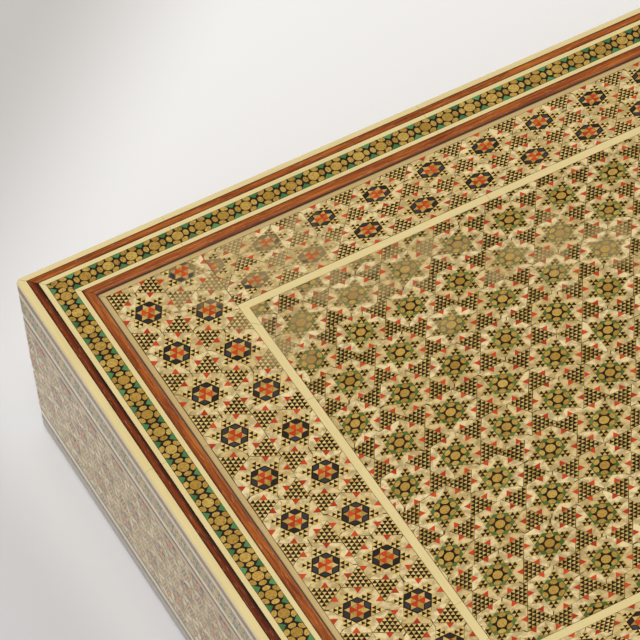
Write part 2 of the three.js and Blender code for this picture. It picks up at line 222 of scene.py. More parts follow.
def lacquer_waves(tree, place, strength):
    """The slow unevenness of hand-rubbed lacquer over wood and bone."""
    waves = add(tree, "TexNoise", {"Vector": place, "Scale": fineness(LACQUER_WAVE), "Detail": 2.0})
    return add(tree, "Bump", {"Height": waves, "Strength": strength, "Distance": 0.0004})


# Where the dark rods look pale and grey, partly from dull rubbed lacquer and partly as a painted reflection
# of
# the bright room: round the back left corner of the main field, and on to the right along its back. Each
# patch has its middle, in millimetres from the left and the back edge, and its reach.
DULL_AND_HAZE_PATCHES = [
    (41, 20, 8.5), (39, 27, 7.0), (30, 26, 5.0), (49, 19, 6.5), (55, 21, 8.5), (63, 19, 5.5), (50, 29, 5.0),
    (63, 29, 8.0), (56, 27, 5.5), (44, 41, 7.0), (45, 51, 7.5), (51, 46, 6.5), (58, 40, 8.5), (65, 45, 7.5),
    (73, 46, 7.0), (80, 44, 8.5), (72, 40, 7.0), (64, 38, 6.0), (87, 42, 5.5), (79, 65, 4.5), (93, 45, 4.5),
    (95, 58, 4.5), (102, 54, 6.5), (108, 59, 6.5), (115, 54, 6.5), (108, 64, 5.0), (122, 63, 8.0),
]
# All of the left side is painted pale with glare, a painted reflection of the bright floor in its lacquer, as
# far as a point this share of the way out of a patch
GLARED_SIDE = 0.5
NOT_GLARED = 9.0
DULL_AND_GLARE_COLOUR = "#a48f63"
DULL_RAGGED = 5


def dull_and_glare_share(tree, place, by_rod, most):
    """How far a point is dulled: patches about as wide as a star, partly rubbed lacquer and partly painted
    reflection, whose rods each take it differently, and painted glare over the left side.
    """
    nearest = None
    for right, down, reach in DULL_AND_HAZE_PATCHES:
        middle = metres(right - WIDTH / 2, DEPTH / 2 - down, HEIGHT)
        away = add(tree, "VectorMath", (place, middle), operation="DISTANCE")
        way_out = add(tree, "Math", (away, 1000 / reach), operation="MULTIPLY")
        if nearest is None:
            nearest = way_out
        else:
            nearest = add(tree, "Math", (nearest, way_out), operation="MINIMUM")
    # The left side is all that lies less than half a millimetre in from the left
    past_side = add(tree, "Math", (
        add(tree, "SeparateXYZ", (place,)), (0.5 - WIDTH / 2) / 1000,
    ), operation="GREATER_THAN")
    side = add(tree, "Math", (past_side, NOT_GLARED, GLARED_SIDE), operation="MULTIPLY_ADD")
    nearest = add(tree, "Math", (nearest, side), operation="MINIMUM")
    ragged = add(tree, "TexNoise", {"Vector": place, "Scale": fineness(DULL_RAGGED), "Detail": 2.0})
    uneven = add(tree, "Math", (ragged, 1.2, nearest), operation="MULTIPLY_ADD")
    uneven = add(tree, "Math", (by_rod, 0.9, uneven), operation="MULTIPLY_ADD")
    return add(tree, "MapRange", {
        "Value": uneven, "From Min": 1.2, "From Max": 2.2, "To Min": most, "To Max": 0.0,
    }, interpolation_type="SMOOTHSTEP")


ROD_LEAN = 0.2


def leaning_normal(tree, by_rod):
    """Rods are sanded flat together, but soft brass is dragged a little, so each one glints by itself."""
    sideways = add(tree, "TexWhiteNoise", {"W": by_rod}, noise_dimensions="1D").outputs["Color"]
    centred = add(tree, "VectorMath", (sideways, (0.5, 0.5, 0.5)), operation="SUBTRACT")
    leaning = add(tree, "VectorMath", (centred, ROD_LEAN), operation="SCALE")
    straight = add(tree, "NewGeometry", ()).outputs["Normal"]
    leant = add(tree, "VectorMath", (straight, leaning), operation="ADD")
    return add(tree, "VectorMath", (leant,), operation="NORMALIZE")


def rod_material(name, shades, roughness=0.42, metallic=0.0, grain=0.0, pits=None, clouds=None, dull=0.5):
    """The cut end of a rod: each rod has its own shade, and a little of the grain of what it is made of.

    Brass also has pits, the dark scratches and specks where grit was drawn over it, and bone has clouds.
    """
    material, tree, place = new_material(name)
    by_rod = add(tree, "NewGeometry", ()).outputs["Random Per Island"]
    ramp = add(tree, "ValToRGB", (by_rod,))
    stops = ramp.color_ramp.elements
    stops[0].color = linear(shades[0])
    stops[1].color = linear(shades[-1])
    for index, shade in enumerate(shades[1:-1], start=1):
        stops.new(index / (len(shades) - 1)).color = linear(shade)
    colour = ramp
    if grain:
        pores = add(tree, "TexNoise", {"Vector": place, "Scale": fineness(0.45), "Detail": 2.0})
        depth = add(tree, "Math", (pores, 2 * grain, 1 - grain), operation="MULTIPLY_ADD")
        grey = add(tree, "CombineColor", (depth, depth, depth))
        colour = add(tree, "Mix", (1.0, colour, grey), data_type="RGBA", blend_type="MULTIPLY")
    if pits:
        specks = add(tree, "TexNoise", {
            "Vector": place, "Scale": fineness(0.32), "Detail": 3.0, "Roughness": 0.7,
        })
        dark = add(tree, "MapRange", {
            "Value": specks, "From Min": 0.56, "From Max": 0.4, "To Min": 0.0, "To Max": 0.55,
        }, interpolation_type="SMOOTHSTEP")
        colour = add(tree, "Mix", (dark, colour, linear(pits)), data_type="RGBA")
    if clouds:
        mottle = add(tree, "TexNoise", {
            "Vector": place, "Scale": fineness(1.7), "Detail": 3.0, "Roughness": 0.6,
        })
        grey = add(tree, "MapRange", {
            "Value": mottle, "From Min": 0.6, "From Max": 0.38, "To Min": 0.0, "To Max": 0.7,
        }, interpolation_type="SMOOTHSTEP")
        colour = add(tree, "Mix", (grey, colour, linear(clouds)), data_type="RGBA")
    # Partly dull lacquer and partly painted reflection and glare: the patches and the whole left side are
    # mixed towards a pale grey, as far as the share given as dull, and brass is less metallic there
    dull_and_glare = dull_and_glare_share(tree, place, by_rod, dull)
    colour = add(tree, "Mix", (dull_and_glare, colour, linear(DULL_AND_GLARE_COLOUR)), data_type="RGBA")
    surface = {"Base Color": colour, "Roughness": roughness, **LACQUER}
    if metallic:
        surface["Metallic"] = add(tree, "Math", (dull_and_glare, -metallic, metallic), operation="MULTIPLY_ADD")
        surface["Normal"] = leaning_normal(tree, by_rod)
    finish_material(tree, surface)
    return material


ROD_MATERIALS = {
    # Camel bone, cut and polished: cream, yellowed by age and lacquer, with faint streaks
    "bone": rod_material(
        "bone_rods", ("#cfb579", "#dbc389", "#ead7a3", "#dfc992"), grain=0.1, clouds="#a28b58", dull=0.05,
    ),
    # Drawn brass wire: yellow metal, dull where it was filed and bright where it caught the rag
    "brass": rod_material(
        "brass_rods", ("#b98f36", "#c89e45", "#d3ab4f", "#ddb85b"), metallic=0.25, pits="#6b5020", dull=0.4,
    ),
    # The finest brass wire, filed flat and rubbed pale
    "wire": rod_material(
        "fine_brass_wire", ("#b08d3b", "#c19f4b", "#d9bb71", "#ccab5c"), metallic=0.2,
    ),
    # The same fine rods in the red stars' sheets are of pale bone
    "pale": rod_material("fine_bone_rods", ("#c6a153", "#d5b262", "#e3c77d", "#d9b86a"), grain=0.15),
    # Ebony: near black, close grained
    "ebony": rod_material("ebony_rods", ("#1b1004", "#261807", "#30200b"), 0.45, grain=0.3, dull=0.75),
    # Bone dyed red
    "red": rod_material("red_dyed_bone_rods", ("#a92c08", "#bf3a0e", "#cd4a19"), grain=0.2, dull=0.35),
    # Wood dyed indigo black
    "indigo": rod_material(
        "indigo_dyed_wood_rods", ("#1e1918", "#2b292c", "#3b3b41", "#322f31"), 0.45, grain=0.25, dull=0.75,
    ),
    # Bone dyed green
    "green": rod_material("green_dyed_bone_rods", ("#46602c", "#566d33", "#687c3e"), grain=0.2),
    # The flowers' leaves took a bluer green
    "leaf": rod_material("leaf_green_dyed_bone_rods", ("#3d6c3a", "#4b7d48", "#5b8f54"), grain=0.25),
}


def bed_material(name, dark, bright):
    """Hide glue and sawdust, which shows as hairlines between the rods."""
    material, tree, place = new_material(name)
    dust = add(tree, "TexNoise", {"Vector": place, "Scale": fineness(0.65), "Detail": 2.0})
    colour = add(tree, "Mix", (dust, linear(dark), linear(bright)), data_type="RGBA")
    # The same mix towards pale grey as on the rods: partly dull lacquer, partly painted reflection and glare
    dull_and_glare = dull_and_glare_share(tree, place, 0.5, 0.5)
    colour = add(tree, "Mix", (dull_and_glare, colour, linear(DULL_AND_GLARE_COLOUR)), data_type="RGBA")
    finish_material(tree, {"Base Color": colour, "Roughness": 0.5, **LACQUER})
    return material


def along_band(tree, place):
    """Where a point lies on a band that goes round the box, in metres.

    A band runs along Y on the left and right sides and along X on the others, and changes over at the
    mitre. Across it is counted from the box's outline inwards.
    """
    x, y, height = add(tree, "SeparateXYZ", (place,)).outputs
    inset_x, inset_y = [
        add(tree, "Math", (
            size / 2000, add(tree, "Math", (offset,), operation="ABSOLUTE"),
        ), operation="SUBTRACT")
        for size, offset in ((WIDTH, x), (DEPTH, y))
    ]
    on_side = add(tree, "Math", (inset_x, inset_y), operation="LESS_THAN")
    difference = add(tree, "Math", (inset_x, inset_y), operation="SUBTRACT")
    return SimpleNamespace(
        along=add(tree, "Mix", (on_side, x, y)),
        across=add(tree, "Mix", (on_side, inset_y, inset_x)),
        height=height,
        on_side=on_side,
        from_mitre=add(tree, "Math", (difference,), operation="ABSOLUTE"),
    )


def drawn_out(tree, band, share):
    """Coordinates for a pattern drawn out along the band, where lengths along it count for this share."""
    along = add(tree, "Math", (band.along, share), operation="MULTIPLY")
    return add(tree, "CombineXYZ", (along, band.across, band.height))


JOINT_WIDTH = 0.09
BONE_LENGTH = 68
# How far the first bone joint lies from the middle of the box, along the end bands and the side bands
JOINT_SHIFTS = (19, 41)
# How wide the glue stain along the padouk strips' edges is, and the painted shadow along the aged bone line's
# outer edge
EDGE_DARKENING_WIDTH = 0.45


def bone_line_material(name, dull, bright, streak, step_shadow_from=None):
    """Long strips of bone: cream, streaked lengthwise, butted end to end with dark hairline joints."""
    material, tree, place = new_material(name)
    band = along_band(tree, place)
    clouds = add(tree, "TexNoise", {"Vector": place, "Scale": fineness(25), "Detail": 2.0})
    colour = add(tree, "Mix", (clouds, linear(dull), linear(bright)), data_type="RGBA")
    streaks = add(tree, "TexNoise", {
        "Vector": drawn_out(tree, band, 0.06), "Scale": fineness(0.38), "Detail": 2.0,
    })
    colour = tinted(tree, colour, streaks, 0.35, streak)
    saw_marks = add(tree, "TexNoise", {
        "Vector": drawn_out(tree, band, 25.0), "Scale": fineness(1.1), "Detail": 3.0,
    })
    colour = tinted(tree, colour, saw_marks, 0.12, "#fff3cc")
    # Painted shadow: the inner padouk's step shades the outer edge of this bone line, painted as a dark band
    if step_shadow_from:
        edge_darkening = add(tree, "MapRange", {
            "Value": band.across, "To Min": 0.85, "To Max": 0.0,
            "From Min": step_shadow_from / 1000, "From Max": (step_shadow_from + EDGE_DARKENING_WIDTH) / 1000,
        }, interpolation_type="SMOOTHSTEP")
        colour = add(tree, "Mix", (edge_darkening, colour, linear("#3b1d0c")), data_type="RGBA")
    shift = add(tree, "Mix", (band.on_side, JOINT_SHIFTS[0] / 1000, JOINT_SHIFTS[1] / 1000))
    shifted = add(tree, "Math", (band.along, shift), operation="ADD")
    from_butt = add(tree, "Math", (shifted, BONE_LENGTH / 2000), operation="PINGPONG")
    butt = add(tree, "Math", (from_butt, JOINT_WIDTH / 2000), operation="LESS_THAN")
    mitre = add(tree, "Math", (band.from_mitre, JOINT_WIDTH / 1000), operation="LESS_THAN")
    joint = add(tree, "Math", (butt, mitre), operation="MAXIMUM")
    colour = tinted(tree, colour, joint, 0.6, "#5c452c")
    finish_material(tree, {
        "Base Color": colour, "Roughness": 0.4, "Normal": lacquer_waves(tree, place, 0.12), **LACQUER,
    })
    return material


# Where the padouk strips of the lid's top begin and end, in millimetres from the box's outline
PADOUK_EDGES = (2.05, 4.15, 11.65, 14.25)
BETWEEN_PADOUK = 8
# The outer strips of the left and right sides darken between these, from nothing to full, towards the bone
# line
DARKENING_STARTS, DARKENING_FULL = 2.7, 4.0


def padouk_material(name, dark, middle, bright, side_shade):
    """Padouk: red-brown hardwood, straight streaks along the strip and open pores 3 to 5 mm long.

    The outer strips of the left and right sides come from a darker board and darken towards the bone line,
    and glue has stained the edges of them all.
    """
    material, tree, place = new_material(name)
    band = along_band(tree, place)
    fibre = drawn_out(tree, band, 0.05)
    streaks = add(tree, "TexNoise", {
        "Vector": fibre, "Scale": fineness(0.75), "Detail": 4.0, "Roughness": 0.65,
    })
    ramp = add(tree, "ValToRGB", (streaks,))
    stops = ramp.color_ramp.elements
    stops[0].position = 0.3
    stops[0].color = linear(dark)
    stops[1].position = 0.72
    stops[1].color = linear(bright)
    stops.new(0.5).color = linear(middle)
    outer = add(tree, "Math", (band.across, BETWEEN_PADOUK / 1000), operation="LESS_THAN")
    darker = add(tree, "Math", (band.on_side, outer), operation="MULTIPLY")
    colour = add(tree, "Mix", (darker, ramp, linear(side_shade)), data_type="RGBA", blend_type="MULTIPLY")
    pores = add(tree, "TexNoise", {"Vector": fibre, "Scale": fineness(0.24), "Detail": 1.0})
    hollow = add(tree, "Math", (pores, 0.36), operation="LESS_THAN")
    colour = tinted(tree, colour, hollow, 0.45, "#241008")
    scratches = add(tree, "TexNoise", {
        "Vector": drawn_out(tree, band, 0.1), "Scale": fineness(0.22), "Detail": 1.0,
    })
    scratched = add(tree, "Math", (scratches, 0.68), operation="GREATER_THAN")
    colour = tinted(tree, colour, scratched, 0.35, "#dca67c")
    darkening_noise = add(tree, "TexNoise", {"Vector": place, "Scale": fineness(24), "Detail": 2.0})
    uneven = add(tree, "Math", (darkening_noise, 1.7), operation="MULTIPLY", use_clamp=True)
    darkened_side_edge = add(tree, "MapRange", {
        "Value": band.across, "From Min": DARKENING_STARTS / 1000, "From Max": DARKENING_FULL / 1000, "To Min": 0.0,
        "To Max": add(tree, "Math", (darker, uneven), operation="MULTIPLY"),
    }, interpolation_type="SMOOTHSTEP")
    colour = add(tree, "Mix", (darkened_side_edge, colour, linear("#1a0904")), data_type="RGBA")
    nearest = None
    for edge in PADOUK_EDGES:
        beyond = add(tree, "Math", (band.across, edge / 1000), operation="SUBTRACT")
        away = add(tree, "Math", (beyond,), operation="ABSOLUTE")
        nearest = away if nearest is None else add(tree, "Math", (nearest, away), operation="MINIMUM")
    edge_darkening = add(tree, "MapRange", {
        "Value": nearest, "From Min": 0.0, "From Max": EDGE_DARKENING_WIDTH / 1000, "To Min": 0.8, "To Max": 0.0,
    }, interpolation_type="SMOOTHSTEP")
    colour = add(tree, "Mix", (edge_darkening, colour, linear("#1d0a04")), data_type="RGBA")
    mitre = add(tree, "Math", (band.from_mitre, JOINT_WIDTH / 1000), operation="LESS_THAN")
    colour = tinted(tree, colour, mitre, 0.7, "#160a06")
    finish_material(tree, {
        "Base Color": colour, "Roughness": 0.38, "Normal": lacquer_waves(tree, place, 0.2), **LACQUER,
    })
    return material


def plain_wood_material(name, dark, bright):
    """Sawn and sanded wood under one thin coat: pale, soft growth lines 4 mm apart along each board."""
    material, tree, place = new_material(name)
    fibre = drawn_out(tree, along_band(tree, place), 0.06)
    growth = add(tree, "TexNoise", {
        "Vector": fibre, "Scale": fineness(4), "Detail": 5.0, "Roughness": 0.6,
    })
    pores = add(tree, "TexNoise", {"Vector": fibre, "Scale": fineness(0.33), "Detail": 2.0})
    colour = add(tree, "Mix", (growth, linear(dark), linear(bright)), data_type="RGBA")
    colour = tinted(tree, colour, pores, 0.3, dark)
    finish_material(tree, {
        "Base Color": colour,
        "Roughness": 0.55,
        "Coat Weight": 0.15,
        "Coat Roughness": 0.35,
        "Normal": add(tree, "Bump", {"Height": pores, "Strength": 0.25, "Distance": 0.0002}),
    })
    return material


def velvet_material():
    """Cotton velvet: a short dense pile, deep red, that lightens where it is seen along the fibres."""
    material, tree, place = new_material("cotton_velvet")
    pile = add(tree, "TexNoise", {"Vector": place, "Scale": fineness(0.3), "Detail": 2.0})
    brushed = add(tree, "TexNoise", {"Vector": place, "Scale": fineness(36), "Detail": 3.0})
    colour = add(tree, "Mix", (pile, linear("#4a0a14"), linear("#6e1422")), data_type="RGBA")
    finish_material(tree, {
        "Base Color": tinted(tree, colour, brushed, 0.5, "#7d1a28"),
        "Roughness": 0.95,
        "Sheen Weight": 0.7,
        "Sheen Roughness": 0.35,
        "Sheen Tint": linear("#c06070"),
        "Specular IOR Level": 0.2,
        "Normal": add(tree, "Bump", {"Height": pile, "Strength": 0.6, "Distance": 0.0003}),
    })
    return material


def hinge_brass_material():
    """Rolled brass, drawn lengthwise: fine scratches along X and a slight brown tarnish."""
    material, tree, place = new_material("rolled_brass")
    drawn = add(tree, "Mapping", {"Vector": place, "Scale": (150.0, 4000.0, 4000.0)})
    scratches = add(tree, "TexNoise", {"Vector": drawn, "Scale": 1.0, "Detail": 3.0})
    tarnish = add(tree, "TexNoise", {"Vector": place, "Scale": fineness(4), "Detail": 3.0})
    finish_material(tree, {
        "Base Color": add(tree, "Mix", (tarnish, linear("#a87c3a"), linear("#d8b264")), data_type="RGBA"),
        "Metallic": 1.0,
        "Roughness": add(tree, "MapRange", {"Value": scratches, "To Min": 0.24, "To Max": 0.42}),
        "Normal": add(tree, "Bump", {"Height": scratches, "Strength": 0.2, "Distance": 0.0001}),
    })
    return material


# Height at which the rim's dark hairline begins
RIM_LINE = 38.9


def rim_material():
    """The base's rim: a dark hairline under the lid, partly dark padouk and partly painted shade under the
    lid's edge, and a strip of pale orange wood below it.
    """
    material, tree, place = new_material("orange_wood_rim")
    band = along_band(tree, place)
    streaks = add(tree, "TexNoise", {
        "Vector": drawn_out(tree, band, 0.05), "Scale": fineness(0.5), "Detail": 4.0, "Roughness": 0.6,
    })
    pale = add(tree, "Mix", (streaks, linear("#a9794a"), linear("#d1a877")), data_type="RGBA")
    dark = add(tree, "Mix", (streaks, linear("#3a1a0e"), linear("#6d3a20")), data_type="RGBA")
    # The dark hairline is partly dark padouk and partly painted shade under the lid's edge
    in_line = add(tree, "Math", (band.height, RIM_LINE / 1000), operation="GREATER_THAN")
    finish_material(tree, {
        "Base Color": add(tree, "Mix", (in_line, pale, dark), data_type="RGBA"),
        "Roughness": 0.4,
        "Normal": lacquer_waves(tree, place, 0.2),
        **LACQUER,
    })
    return material


def dress(name, material):
    """Gives a frame node its material."""
    target = frame["nodes"][name]
    if not target.material_slots:
        target.data.materials.append(None)
    for slot in target.material_slots:
        slot.link = "OBJECT"
        slot.material = material


velvet = velvet_material()
star_bed = bed_material("glue_and_bone_dust", "#33240f", "#66502c")
SLOT_FINISHES = {
    "poplar": plain_wood_material("poplar_carcass", "#a97f4e", "#d2ac78"),
    "padouk": padouk_material("padouk_strips", "#6e2f0c", "#9d4f18", "#c07226", "#c7a588"),
    "dark_padouk": padouk_material("dark_padouk_strips", "#361708", "#57280f", "#7b3b17", "#d8d0c8"),
    "bone": bone_line_material("bone_strips", "#dcc886", "#efdea3", "#b9a066"),
    "flower_mosaic": bed_material("glue_and_ebony_dust", "#160e06", "#2b1d0f"),
    "red_star_mosaic": star_bed,
    "green_star_mosaic": star_bed,
    "plinth_wood": plain_wood_material("grey_brown_edge_veneer", "#9d9385", "#d0c7b9"),
    "velvet": velvet,
    "brass": hinge_brass_material(),
}
for subpart in frame["record"]["subparts"]:
    dress(subpart["node"], SLOT_FINISHES[subpart["material_slot"]])
# The bone line next to the inner padouk is older, and its outer edge carries a painted shadow of the inner
# padouk's step
dress("lid_field_edge", bone_line_material(
    "aged_bone_strips", "#bd9f62", "#d3b87e", "#8f7440", step_shadow_from=14.3,
))
dress("base_rim_padouk", rim_material())


# One khatam sheet is a stack of thin layers: each layer of rods stands a hair above the one below.
# No rod lies quite in its place.
RISE = 0.025
ROD_SLIP = 0.03
ROD_TURN = math.radians(1.6)

chance = random.Random(7)


def outline(name, corners):
    """The outline of one rod: a primitive circle whose corners are then drawn to their places."""
    deselect_all()
    bpy.ops.mesh.primitive_circle_add(vertices=len(corners), radius=1, fill_type="NGON", enter_editmode=False)
    rod = bpy.context.object
    rod.name = name
    for vertex, corner in zip(rod.data.vertices, corners):
        vertex.co = (corner[0], corner[1], 0)
    with editing(rod):
        bpy.ops.mesh.normals_make_consistent(inside=False)
    if rod.data.polygons[0].normal.z < 0:
        rod.data.flip_normals()
    mesh = rod.data
    bpy.data.objects.remove(rod)
    return mesh


def polar(radius, degrees):
    angle = math.radians(degrees)
    return radius * math.cos(angle), radius * math.sin(angle)


def oval(long, wide, count):
    """Corners of a rounded rod, with its long axis across the direction that it faces."""
    turns = [2 * math.pi * step / count for step in range(count)]
    return [(wide * math.cos(turn), long * math.sin(turn)) for turn in turns]


def join(pieces):
    """Joins pieces into one object, with one material slot for each kind of rod."""
    deselect_all()
    for piece in pieces:
        piece.select_set(True)
    bpy.context.view_layer.objects.active = pieces[0]
    bpy.ops.object.join()
    return pieces[0]


class Layout:
    """Rods laid flat, in millimetres, and then joined into one mesh that is copied."""

    def __init__(self):
        self.rods = []

    def lay(self, kind, shape, layer, place=(0, 0), turn=0.0, size=1.0):
        mesh = shape.copy()
        mesh.materials.clear()
        mesh.materials.append(ROD_MATERIALS[kind])
        slip_x, slip_y = chance.uniform(-1, 1) * ROD_SLIP, chance.uniform(-1, 1) * ROD_SLIP
        slip_turn = chance.uniform(-1, 1) * ROD_TURN
        mesh.transform(
            Matrix.Translation((place[0] + slip_x, place[1] + slip_y, (layer + 1) * RISE))
            @ Matrix.Rotation(math.radians(turn) + slip_turn, 4, "Z")
            @ Matrix.Scale(size, 4)
        )
        rod = bpy.data.objects.new("rod", mesh)
        bpy.context.collection.objects.link(rod)
        self.rods.append(rod)

    def pattern(self):
        """The joined rods as a bare mesh, to be copied."""
        joined = join(self.rods)
        mesh = joined.data
        bpy.data.objects.remove(joined)
        return mesh


# From here to the flowers, sizes are shares of the radius of a star's hexagon, unless it says otherwise
STAR_RADIUS = 7.0
unit = STAR_RADIUS
# A star's heart, a hexagon, and the shards of bone round it: the notch between two arms, the outer
# edge, and how far both stay from the next shard, in degrees
HEART = 0.495
ARM_END, NOTCH_ANGLE = 0.82, 29.2
BONE_EDGE, EDGE_ANGLE = 0.995, 29.7
# An arm's rods, in rows that get one longer each, and how much the green star's clovers are larger
ARM_ROD, ARM_ROWS, ARM_FILL = 0.162, 3, 0.96
CLOVER = 1.1
RED_ROD, RED_ROD_PLACE = 0.25, 0.79
# The dotted triangles. Their pale rods fill less of the ebony than an arm's do.
DOT_ROD, DOT_ROWS = 0.161, 6
DOT_FILL = {"red": 0.86, "green": 0.84}
FINE_ROD = {"red": "pale", "green": "wire"}
# A red star's heart: six indigo rhombi, and a six-pointed star whose points have this side. The sizes
# and the place of its rods are shares of that side.
INDIGO_HALVES, INDIGO_SIZE, INDIGO_PLACE = (0.118, 0.205), 0.74, 0.352
POINT = 0.23
POINT_FILL, BRASS_FILL = 0.95, 0.97
RED_FILL, RED_PLACE = 1.27, 0.64
# A green star's heart: an ebony hexagon, petals at its corners, and a disc
EBONY_HEART = 0.335
HEART_PETAL, HEART_PETAL_PLACE = 0.13, 0.315
HEART_DISC = 0.172

triangle = outline("triangle", [polar(1 / math.sqrt(3), angle) for angle in (90, 210, 330)])
hexagon = outline("hexagon", [polar(1, angle) for angle in range(0, 360, 60)])
disc = outline("disc", oval(1, 1, 14))
petal = outline("petal", oval(1, 0.7, 10))
rhombus = outline("rhombus", [(1, 0), (0, 1), (-1, 0), (0, -1)])
indigo_rhombus = outline("indigo_rhombus", [
    (INDIGO_HALVES[0], 0), (0, INDIGO_HALVES[1]), (-INDIGO_HALVES[0], 0), (0, -INDIGO_HALVES[1]),
])
bone_shard = outline("bone_shard", [
    polar(HEART, 0), polar(ARM_END, -NOTCH_ANGLE), polar(BONE_EDGE, -EDGE_ANGLE),
    polar(BONE_EDGE, EDGE_ANGLE), polar(ARM_END, NOTCH_ANGLE),
])


def lay_rod_triangle(layout, rows, side, place, turn, fill, ground_layer, rod):
    """A triangle of small pale rods on ebony. Place is its middle, and its first corner points at turn."""
    layout.lay("ebony", triangle, ground_layer, place, turn - 90, rows * side)
    height = side * math.sqrt(3) / 2
    centre = Vector(place)
    forward = Vector(polar(1, turn))
    sideways = Vector((-forward.y, forward.x))
    first = rows * side / math.sqrt(3)
    for row in range(rows):
        for column in range(row + 1):
            along = first - side / math.sqrt(3) - row * height
            spot = centre + forward * along + sideways * (column - row / 2) * side
            layout.lay(rod, triangle, ground_layer + 1, spot, turn - 90, side * fill)


def lay_star(kind):
    """One star: a heart, six arms of small rods, six shards of bone and six red rods."""
    layout = Layout()
    side = ARM_ROD * unit
    arm = (HEART * math.sqrt(3) / 2 + HEART / (2 * math.sqrt(3))) * unit
    for step in range(6):
        to_corner, to_edge = step * 60, step * 60 + 30
        layout.lay("bone", bone_shard, 0, (0, 0), to_edge, unit)
        layout.lay("red", triangle, 1, polar(RED_ROD_PLACE * unit, to_edge), to_edge + 90, RED_ROD * unit)
        middle = polar(arm, to_corner)
        lay_rod_triangle(layout, ARM_ROWS, side, middle, to_corner, ARM_FILL, 1, FINE_ROD[kind])
        for turn in (0, 120, 240) if kind == "green" else ():
            # The three ebony rods in the middle of an arm are a size larger and meet as a clover
            leaf = Vector(middle) + Vector(polar(side / math.sqrt(3), to_corner + turn))
            layout.lay("ebony", triangle, 3, leaf, to_corner + turn + 90, side * CLOVER)
    if kind == "red":
        lay_red_heart(layout)
    else:
        lay_green_heart(layout)
    return layout.pattern()


def lay_dotted_pair(kind):
    """The two dotted triangles that stand point to point between neighbouring stars of a strip."""
    layout = Layout()
    for turn in (90, 270):
        middle = polar(unit / math.sqrt(3), turn)
        lay_rod_triangle(
            layout, DOT_ROWS, DOT_ROD * unit, middle, turn + 180, DOT_FILL[kind], 0, FINE_ROD[kind],
        )
    return layout.pattern()


def lay_red_heart(layout):
    """An ebony hexagon with six indigo rhombi, and in it a six-pointed star of brass and red rods."""
    layout.lay("ebony", hexagon, 1, (0, 0), 30, HEART * unit)
    point = POINT * unit
    tip = (POINT * math.sqrt(3) / 2 + POINT / (2 * math.sqrt(3))) * unit
    for step in range(6):
        to_corner, to_edge = step * 60, step * 60 + 30
        spot = polar(INDIGO_PLACE * unit, to_edge)
        layout.lay("indigo", indigo_rhombus, 2, spot, to_edge, unit * INDIGO_SIZE)
        layout.lay("wire", triangle, 2, polar(tip, to_corner), to_corner - 90, point * POINT_FILL)
        if step % 2:
            spot = polar(point * RED_PLACE, to_corner)
            layout.lay("red", triangle, 3, spot, to_corner + 90, point * RED_FILL)
        else:
            spot = polar(point / math.sqrt(3), to_corner)
            layout.lay("brass", triangle, 2, spot, to_corner + 90, point * BRASS_FILL)


def lay_green_heart(layout):
    """A green hexagon with an ebony one in it, six brass petals round the middle and a brass disc."""
    layout.lay("green", hexagon, 1, (0, 0), 30, HEART * unit)
    layout.lay("ebony", hexagon, 2, (0, 0), 30, EBONY_HEART * unit)
    for step in range(6):
        spot = polar(HEART_PETAL_PLACE * unit, step * 60)
        layout.lay("brass", petal, 3, spot, step * 60, HEART_PETAL * unit)
    layout.lay("brass", disc, 3, (0, 0), 0, HEART_DISC * unit)


# The small flowers, in millimetres: their pitch, the strips' widths, and their rods
FLOWER_PITCH = 6.0
TOP_FLOWERS, SIDE_FLOWERS = 4.9, 5.3
FLOWER_DISC = 1.36
FLOWER_PETAL, FLOWER_PETAL_PLACE = 0.95, 2.16
LEAF, LEAF_OUT = 1.45, 0.05


def lay_flower(width):
    """One flower of the narrow strips: a brass disc, six petals, and green rods at both edges."""
    layout = Layout()
    layout.lay("brass", disc, 0, (0, 0), 0, FLOWER_DISC)
    for step in range(6):
        layout.lay("brass", petal, 0, polar(FLOWER_PETAL_PLACE, step * 60), step * 60, FLOWER_PETAL)
    for side in (-1, 1):
        layout.lay("leaf", rhombus, 0, (FLOWER_PITCH / 2, side * (width / 2 + LEAF_OUT)), 0, LEAF)
    return layout.pattern()


VARIANTS = 4
stars = {kind: [lay_star(kind) for _ in range(VARIANTS)] for kind in ("red", "green")}
dotted = {kind: [lay_dotted_pair(kind) for _ in range(VARIANTS)] for kind in ("red", "green")}
flowers = {width: [lay_flower(width) for _ in range(VARIANTS)] for width in (TOP_FLOWERS, SIDE_FLOWERS)}


def set_cells(cells):
    """Copies patterns to their places: each cell is (mesh, x, y, stretch along, stretch across, turn)."""
    copies = []
    for mesh, x, y, along, across, turn in cells:
        copy = bpy.data.objects.new("cell", mesh.copy())
        bpy.context.collection.objects.link(copy)
        copy.data.transform(
            Matrix.Translation((x, y, 0))
            @ Matrix.Diagonal((along, across, 1, 1))
            @ Matrix.Rotation(math.radians(turn), 4, "Z")
        )
        copies.append(copy)
    return join(copies)


STAR_PITCH = 2 * STAR_RADIUS
# How far a strip is laid past its end, to be sawn off
SPARE = 8


def star_strip(kind, first, pitch, middle, breadth, start, end):
    """The cells of one strip along X: a star at first, and one each pitch from start to end."""
    cells = []
    along = pitch / STAR_PITCH
    across = breadth / (STAR_PITCH * math.sqrt(3) / 2)
    first_step = math.floor((start - SPARE - first) / pitch)
    last_step = math.ceil((end + SPARE - first) / pitch)
    for step in range(first_step, last_step + 1):
        star = stars[kind][chance.randrange(VARIANTS)]
        dots = dotted[kind][chance.randrange(VARIANTS)]
        place = first + step * pitch
        cells.append((star, place, middle, along, across, 60 * chance.randrange(6)))
        cells.append((dots, place + pitch / 2, middle, along, across, 180 * chance.randrange(2)))
    return cells


def cut(sheet, place, outward):
    """Saws a flat sheet along a line and keeps the part behind it."""
    with editing(sheet):
        bpy.ops.mesh.bisect(
            plane_co=(place[0], place[1], 0),
            plane_no=(outward[0], outward[1], 0),
            clear_outer=True,
            use_fill=False,
        )


